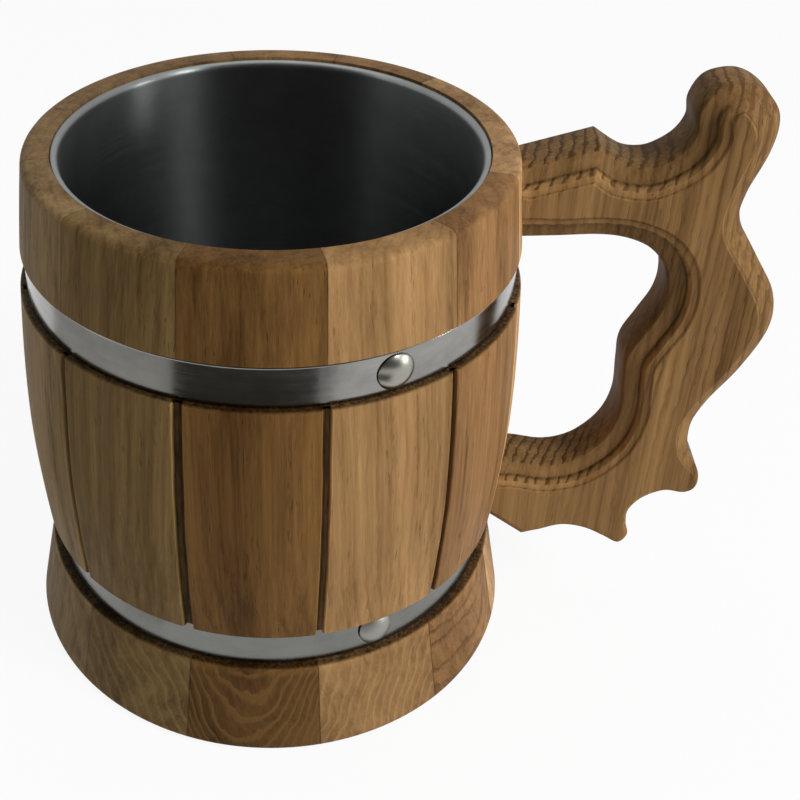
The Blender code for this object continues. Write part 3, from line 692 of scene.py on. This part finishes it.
def steel(name, tone, rough, brush, stain, lip=None):
    """Steel with fine marks and stains, darkened as painted shadow where the mesh's attribute is above 0;
    lip, for a cup, is the gain at its top over walls toned dark as painted shade.
    """
    net = Graph(name)
    place = net.node("TexCoord", {}).outputs["Object"]
    parts = net.node("SeparateXYZ", {0: place}).outputs
    around = net.math("MULTIPLY", net.math("ARCTAN2", parts[1], parts[0]), 0.055)
    wrapped = net.node("CombineXYZ", {0: around, 1: parts[2]}).outputs[0]
    marks = net.noise(net.vector("MULTIPLY", wrapped, (18, brush, 1)), 2.0, 0.6)
    blotches = net.noise(net.vector("MULTIPLY", wrapped, (110, 150, 1)), 4.0, 0.62)
    gain = net.remap(blotches, 0.3, 0.7, 1.0 - stain, 1.0 + stain, False)
    gain = net.math("MULTIPLY", gain, net.remap(marks, 0.2, 0.8, 0.93, 1.05, False))
    # Above 0 the mesh's attribute darkens the steel: a painted shadow round the rivet heads.
    wear_and_painted_light = net.node("Attribute", {}, attribute_name="wear_and_painted_light").outputs["Fac"]
    gain = net.math("MULTIPLY", gain, net.remap(wear_and_painted_light, 0.0, 1.0, 1.0, 0.3, False))
    patches = marks if lip else net.math("MULTIPLY", net.math("ADD", marks, blotches), 0.5)
    net.set(Roughness=net.remap(patches, 0.35, 0.65, rough[0], rough[1], False), Metallic=1.0)
    # The cup's walls keep a darker tone than its lip: painted shade for the dark inside of the cup.
    if lip:
        gain = net.math("MULTIPLY", gain, net.remap(parts[2], CUP_TOP - 0.0022, CUP_TOP - 0.0010, 1.0, lip))
        net.set(Anisotropic=0.9, Anisotropic_Rotation=0.25)
        net.set(Tangent=net.node("Tangent", {}, direction_type="RADIAL", axis="Z").outputs[0])
    else:
        net.bump(marks, 0.10, 0.00006)
    net.set(Base_Color=net.scaled(tone, gain))
    return net.material


# Staves' wood: pith place behind the face, ring spacing, colour, and what else differs
STAVE_WOOD = (
    # Stave 1's base is lighter partly as painted light for the side that the key lamp lights, and its low
    # end_tone keeps its rim top darker.
    ((0.014, 0.030), 0.0024, (0.470, 0.270, 0.120), {
        "lean": (0.03, 0.0), "end_tone": 0.66, "foot_tone": 1.0,
    }),
    ((0.018, 0.017), 0.0024, (0.330, 0.190, 0.083), {"lean": (0.04, 0.02)}),
    ((0.022, 0.004), 0.0026, (0.270, 0.150, 0.060), {"lean": (0.05, 0.0)}),
    ((0.014, -0.009), 0.0028, (0.250, 0.138, 0.052), {"lean": (0.03, 0.02)}),
    ((0.018, -0.022), 0.0022, (0.215, 0.122, 0.050), {"lean": (0.04, 0.0)}),
    ((0.022, 0.030), 0.0024, (0.200, 0.118, 0.050), {"lean": (0.05, 0.02)}),
    ((0.014, 0.017), 0.0026, (0.235, 0.145, 0.064), {"lean": (0.03, 0.0)}),
    ((0.010, 0.052), 0.0026, (0.262, 0.168, 0.073), {"lean": (0.02, 0.01), "foot_tone": 0.84}),
    ((0.018, 0.046), 0.0028, (0.200, 0.122, 0.045), {
        "lean": (0.06, -0.05), "foot_rings": -0.5, "foot_tone": 0.80, "flame": (0.3, 4, 0.010),
    }),
    ((0.022, 0.004), 0.0023, (0.163, 0.081, 0.0235), {
        "lean": (0.04, 0.02), "side": 0.18,
        "foot_rings": -0.9, "foot_tone": 0.63, "flame": (0.28, 44, 0.003),
    }),
    ((0.020, -0.042), 0.0026, (0.345, 0.193, 0.077), {
        "lean": (0.04, 0.05), "side": -0.06, "zones": 0.8, "streaks": 0.75, "warp": 0.006,
        "foot_rings": -0.35, "foot_tone": 0.76, "flame": (0.3, 4, -0.010),
    }),
    ((0.012, -0.050), 0.0030, (0.260, 0.134, 0.051), {
        "lean": (0.02, 0.01), "side": 0.16, "foot_rings": 0.22, "flame": (0.3, 20, 0.0),
    }),
)


def stave_material(index):
    pith, spacing, base, changes = STAVE_WOOD[index]
    name = "oak_stave_%02d" % (index + 1)
    return oak(name, 2 * HALF_ANGLE * index, 0.37 * index, pith, spacing, base, curl=0.008, **changes)


# Surroundings

def seen_directly(tree):
    """1 for rays from the camera, mirrors and glass."""
    path = tree.nodes.new("ShaderNodeLightPath")
    total = path.outputs["Is Camera Ray"]
    for name in ("Is Glossy Ray", "Is Transmission Ray"):
        either = tree.nodes.new("ShaderNodeMath")
        either.operation = "MAXIMUM"
        tree.links.new(total, either.inputs[0])
        tree.links.new(path.outputs[name], either.inputs[1])
        total = either.outputs[0]
    return total


def floor():
    """A pale floor that shows nearly white and keeps the object's shadow."""
    white_share = 0.92
    below_table = -0.0002
    material = bpy.data.materials.new("pale_floor")
    material.use_nodes = True
    tree = material.node_tree
    tree.nodes.clear()
    output = tree.nodes.new("ShaderNodeOutputMaterial")
    diffuse = tree.nodes.new("ShaderNodeBsdfDiffuse")
    diffuse.inputs["Color"].default_value = rgb(0.80, 0.80, 0.80)
    glow = tree.nodes.new("ShaderNodeEmission")
    share = tree.nodes.new("ShaderNodeMath")
    share.operation = "MULTIPLY"
    share.inputs[1].default_value = white_share
    tree.links.new(seen_directly(tree), share.inputs[0])
    mixer = tree.nodes.new("ShaderNodeMixShader")
    tree.links.new(share.outputs[0], mixer.inputs[0])
    tree.links.new(diffuse.outputs[0], mixer.inputs[1])
    tree.links.new(glow.outputs[0], mixer.inputs[2])
    tree.links.new(mixer.outputs[0], output.inputs[0])
    mesh = bpy.data.meshes.new("floor")
    reach = 4.0
    corners = ((-reach, -reach), (reach, -reach), (reach, reach), (-reach, reach))
    mesh.from_pydata([(across, back, below_table) for across, back in corners], [], [(0, 1, 2, 3)])
    mesh.materials.append(material)
    item = bpy.data.objects.new("floor", mesh)
    bpy.context.scene.collection.objects.link(item)


def card(name, start, end, inner, outer, tone):
    """A sheet that shows only in reflections, between two arcs given by radius and height."""
    material = bpy.data.materials.new(name)
    material.use_nodes = True
    shader = material.node_tree.nodes["Principled BSDF"]
    shader.inputs["Base Color"].default_value = tone
    shader.inputs["Roughness"].default_value = 0.9
    vertices = []
    for step in range(CARD_STEPS + 1):
        angle = math.radians(start + (end - start) * step / CARD_STEPS)
        for radius, height in (inner, outer):
            vertices.append((radius * math.cos(angle), radius * math.sin(angle), height))
    faces = [(2 * step, 2 * step + 1, 2 * step + 3, 2 * step + 2) for step in range(CARD_STEPS)]
    mesh = bpy.data.meshes.new(name)
    mesh.from_pydata(vertices, [], faces)
    mesh.materials.append(material)
    item = bpy.data.objects.new(name, mesh)
    item.visible_camera = False
    item.visible_diffuse = False
    item.visible_shadow = False
    bpy.context.scene.collection.objects.link(item)


def cards():
    dark = rgb(0.05, 0.044, 0.036)
    for number, (start, end) in enumerate(((-125, -67), (-65.5, -63.5), (-62, -61.2))):
        card("dark_card_%d" % number, start, end, (0.145, 0.0004), (0.40, 0.0004), dark)
    card("grey_card", -190, -125, (0.10, 0.0004), (0.40, 0.0004), rgb(0.78, 0.78, 0.74))
    card("back_card", -150, -30, (0.75, 0.12), (0.75, 1.8), dark)


def surround(strength):
    """Soft light from all round, and plain white wherever it is seen directly."""
    world = bpy.data.worlds.new("studio")
    bpy.context.scene.world = world
    world.use_nodes = True
    tree = world.node_tree
    tree.nodes.clear()
    output = tree.nodes.new("ShaderNodeOutputWorld")
    soft = tree.nodes.new("ShaderNodeBackground")
    soft.inputs["Color"].default_value = rgb(1.0, 1.0, 1.0)
    soft.inputs["Strength"].default_value = strength
    white = tree.nodes.new("ShaderNodeBackground")
    white.inputs["Color"].default_value = rgb(1.0, 1.0, 1.0)
    mixer = tree.nodes.new("ShaderNodeMixShader")
    tree.links.new(seen_directly(tree), mixer.inputs[0])
    tree.links.new(soft.outputs[0], mixer.inputs[1])
    tree.links.new(white.outputs[0], mixer.inputs[2])
    tree.links.new(mixer.outputs[0], output.inputs[0])


def lamp(name, spot, target, size, power):
    data = bpy.data.lights.new(name, "AREA")
    data.shape = "DISK"
    data.size = size
    data.energy = power
    item = bpy.data.objects.new(name, data)
    item.location = spot
    item.rotation_euler = (Vector(target) - Vector(spot)).to_track_quat("-Z", "Y").to_euler()
    bpy.context.scene.collection.objects.link(item)
    return item


def window(name, angle, height, power):
    """A lamp that lights only gloss, for a gleam on the steel."""
    distance = 0.7
    turn = math.radians(angle)
    spot = (distance * math.cos(turn), distance * math.sin(turn), height)
    lamp(name, spot, (0.0, 0.0, 0.10), 0.14, power).visible_diffuse = False


def camera():
    data = bpy.data.cameras.new("camera")
    data.sensor_width = 36.0
    data.lens = 53.18
    data.shift_x = 0.1625
    data.clip_start = 0.01
    item = bpy.data.objects.new("camera", data)
    item.location = (0.0173, -0.2562, 0.2586)
    item.rotation_euler = (math.radians(52.77), 0.0, math.radians(3.9))
    bpy.context.scene.collection.objects.link(item)
    bpy.context.scene.camera = item


# The tankard

def dress(node, material):
    """Gives a CAD node that shows as it is its finished material."""
    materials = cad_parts[node].data.materials
    materials.clear()
    materials.append(material)


for index in range(STAVES):
    stave(index, stave_material(index))

bright_strip = steel("hoop_steel_look", (0.29, 0.287, 0.275), (0.12, 0.24), 2600, 0.16)
# The lower hoop's steel is a darker, rougher copy of the upper's; its darker tone is painted shade.
shaded_strip = steel("lower_hoop_steel_look", (0.195, 0.195, 0.185), (0.16, 0.30), 2600, 0.12)
upper_groove = (UPPER_GROOVE_BOTTOM, UPPER_GROOVE_TOP, UPPER_GROOVE_RADIUS)
lower_groove = (FOOT_HEIGHT, LOWER_GROOVE_TOP, LOWER_GROOVE_RADIUS)
hoop("strip_upper", *upper_groove, 0.0, bright_strip, "hoop_upper")
hoop("strip_lower", *lower_groove, LOWER_FLARE, shaded_strip, "hoop_lower")

bright_cap = steel("rivet_steel_look", (0.37, 0.355, 0.315), (0.27, 0.35), 900, 0.05)
dull_cap = steel("lower_rivet_steel_look", (0.34, 0.33, 0.30), (0.38, 0.50), 900, 0.05)
upper_middle = (UPPER_GROOVE_BOTTOM + UPPER_GROOVE_TOP) / 2
lower_middle = (FOOT_HEIGHT + LOWER_GROOVE_TOP) / 2
lower_seat = LOWER_FLARE * 0.55
rivet("cap_upper", upper_middle, UPPER_GROOVE_RADIUS, -0.0001, 0.0, bright_cap, "rivet_upper")
rivet("cap_lower", lower_middle, LOWER_GROOVE_RADIUS, lower_seat, LOWER_LEAN, dull_cap, "rivet_lower")

# The cup's steel tone is dark as painted shade for its deep inside; the lip gets 1.35 times that tone.
cup(steel("cup_steel_look", (0.165, 0.174, 0.170), (0.32, 0.40), 5200, 0.08, 1.35))

# The handle's board lies a quarter of a metre from the pith, and its middle 90 mm from the barrel's axis
board_pith = (0.09 - 0.25 * 0.90, 0.25 * 0.44)
handle_wood = oak(
    "oak_handle_look", 0.0, 5.1, board_pith, 0.0025, (0.250, 0.138, 0.051),
    lean=(0.03, 0.0), out=-0.42, rise=-0.1, rings=0.32, end_rings=0.9, end_tone=0.84, foot_tone=1.0,
    zones=0.6, warp=0.006, jag=0.0018)
handle(handle_wood)

disc_wood = oak(
    "oak_disc_look", 0.4, 2.2, (0.0, 0.20), 0.0030, (0.270, 0.150, 0.062),
    tip=math.pi / 2, end_tone=1.0, foot_rings=0.0)
dress("bottom_disc", disc_wood)
screw_steel = steel("screw_steel_look", (0.40, 0.40, 0.39), (0.30, 0.45), 1500, 0.08)
for name in ("handle_screw_upper", "handle_screw_lower"):
    dress(name, screw_steel)

floor()
cards()
surround(0.20)
window("right_window", -30, 0.75, 2.4)
window("left_window", -158, 0.75, 0.15)
window("low_window", -10, 0.24, 1.2)
key = lamp("key", (0.75, -0.42, 0.80), (0.0, 0.0, 0.07), 0.50, 10.5)
key.visible_glossy = False
lamp("top", (-0.10, 0.25, 1.10), (0.0, 0.0, 0.07), 0.70, 2.0)
camera()
bpy.context.scene.view_settings.view_transform = "Standard"
